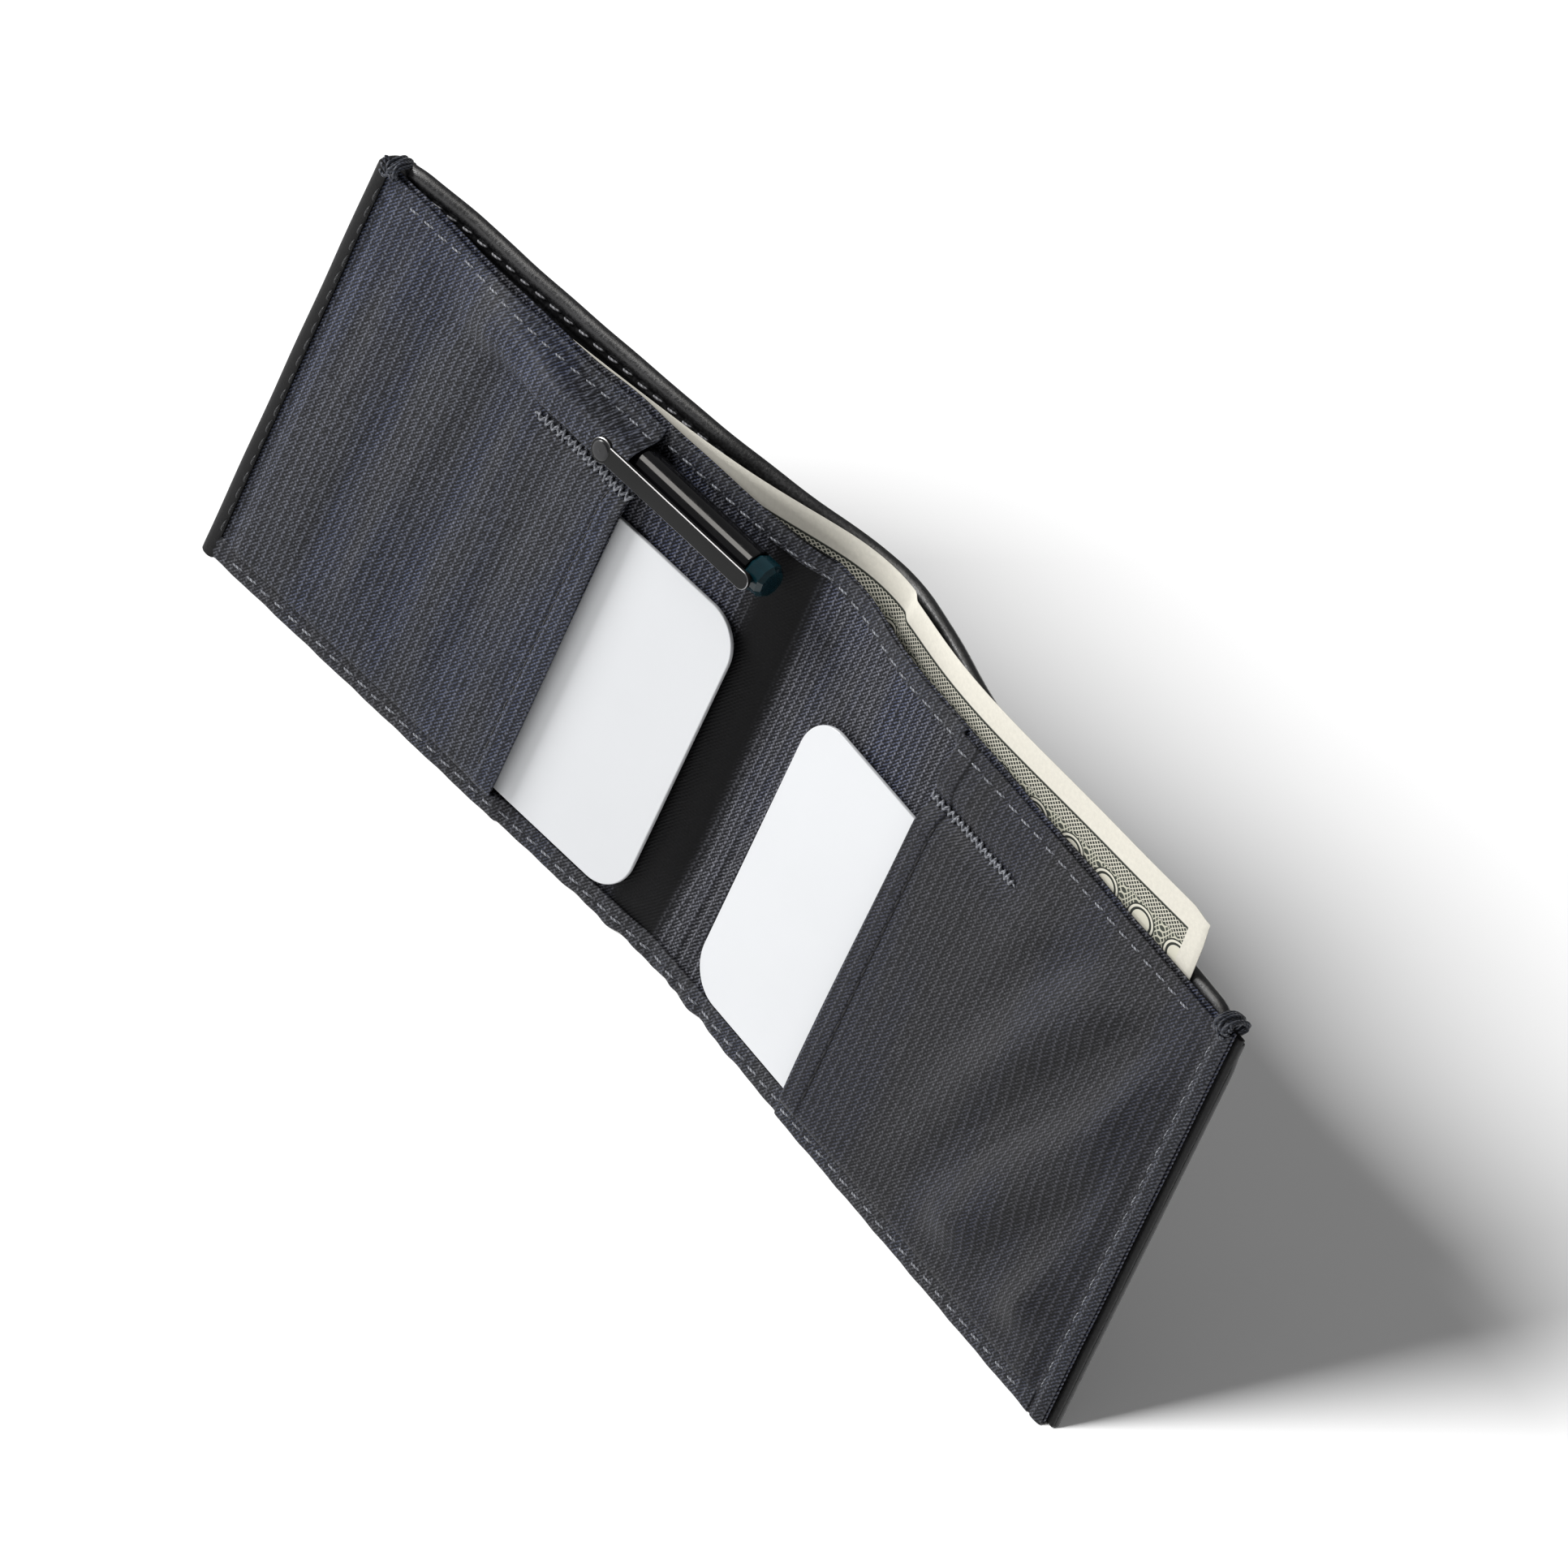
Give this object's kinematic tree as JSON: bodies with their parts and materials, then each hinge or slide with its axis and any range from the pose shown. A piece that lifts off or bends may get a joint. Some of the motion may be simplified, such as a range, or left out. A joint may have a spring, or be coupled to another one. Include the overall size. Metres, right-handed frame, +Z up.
{
  "type": "bifold wallet",
  "caption": "Open bifold wallet of black leather with a twill lining, pockets holding plain cards and a slim pen, and a bill compartment holding a note.",
  "frame": {"origin": "centre of the wallet's box at its base, on the surface that it stands on", "axes": "+X along the open wallet's length, to the right as seen from its inside; -Y towards the inside; +Z up, along the fold"},
  "size_m": [0.2154, 0.0262, 0.0875],
  "materials": {
    "shell_leather": "fine grain, semi-gloss",
    "turned_leather": "fine grain, semi-gloss",
    "hem_twill": "fine twill nylon, doubled",
    "lining_twill": "fine twill nylon",
    "pale_thread": "twisted polyester thread",
    "dark_thread": "twisted polyester thread",
    "bar_tack_thread": "dense zig-zag polyester thread",
    "knot_thread": "wound polyester thread",
    "card": "smooth white card plastic",
    "banknote": "cotton paper with a fine engraved lattice",
    "pen_gloss": "gloss black lacquer",
    "refill": "drawn tube",
    "pen_plug": "dark teal, faceted",
    "pen_clip": "charcoal with bright chamfers",
    "pen_disc": "charcoal"
  },
  "bodies": {
    "left_half": {"left_shell": "shell_leather", "left_shell_facing": "turned_leather", "left_turned_edge": "turned_leather", "left_edge_wrap": "shell_leather", "left_lining": "lining_twill", "left_lining_hem": "hem_twill", "left_pocket": "lining_twill", "left_pocket_hem": "lining_twill", "left_bottom_binding": "hem_twill", "left_bottom_stitches": "pale_thread", "left_lining_stitches": "pale_thread", "left_facing_stitches": "dark_thread", "left_side_stitches": "dark_thread", "left_pocket_stitches": "dark_thread", "left_bar_tack": "bar_tack_thread", "left_corner_knot": "knot_thread"},
    "right_half": {"right_shell": "shell_leather", "right_shell_facing": "turned_leather", "right_turned_edge": "turned_leather", "right_edge_hem": "hem_twill", "right_lining": "lining_twill", "right_lining_hem": "hem_twill", "right_pocket": "lining_twill", "right_pocket_hem": "lining_twill", "right_bottom_binding": "hem_twill", "right_bottom_stitches": "pale_thread", "right_lining_stitches": "pale_thread", "right_facing_stitches": "dark_thread", "right_side_stitches": "pale_thread", "right_pocket_stitches": "dark_thread", "right_bar_tack": "bar_tack_thread", "right_corner_knot": "knot_thread"},
    "left_card": {"left_card": "card"},
    "right_card": {"right_card": "card"},
    "note_left": {"banknote_left": "knot_thread"},
    "note_right": {"banknote_right": "knot_thread"},
    "pen": {"pen_barrel": "pen_gloss", "pen_nose": "pen_gloss", "pen_refill": "refill", "pen_end_plug": "pen_plug", "pen_clip": "pen_clip", "pen_clip_disc": "pen_disc"}
  },
  "joints": [
    {"name": "fold", "type": "hinge", "parent": "left_half", "child": "right_half", "pos_m": [0, -0.00686, 0], "axis": [0, 0, -1], "range_deg": [-9, 171]},
    {"name": "left_card_slide", "type": "slide", "parent": "left_half", "child": "left_card", "axis": [0.9969, 0.0785, 0], "range_m": [-0.0025, 0.009]},
    {"name": "right_card_slide", "type": "slide", "parent": "right_half", "child": "right_card", "axis": [-0.9969, 0.0785, 0], "range_m": [-0.0075, 0.004]},
    {"name": "pen_slide", "type": "slide", "parent": "left_half", "child": "pen", "axis": [0.9969, 0.0785, 0], "range_m": [0, 0.007]},
    {"name": "note_lift", "type": "slide", "parent": "left_half", "child": "note_left", "axis": [0, 0, 1], "range_m": [-0.006, 0.066]},
    {"name": "note_fold", "type": "hinge", "parent": "note_left", "child": "note_right", "pos_m": [0, -0.00686, 0], "axis": [0, 0, -1], "range_deg": [-9, 171]}
  ],
  "couplings": [
    {"joint": "note_fold", "follows": "fold", "ratio": 1}
  ]
}
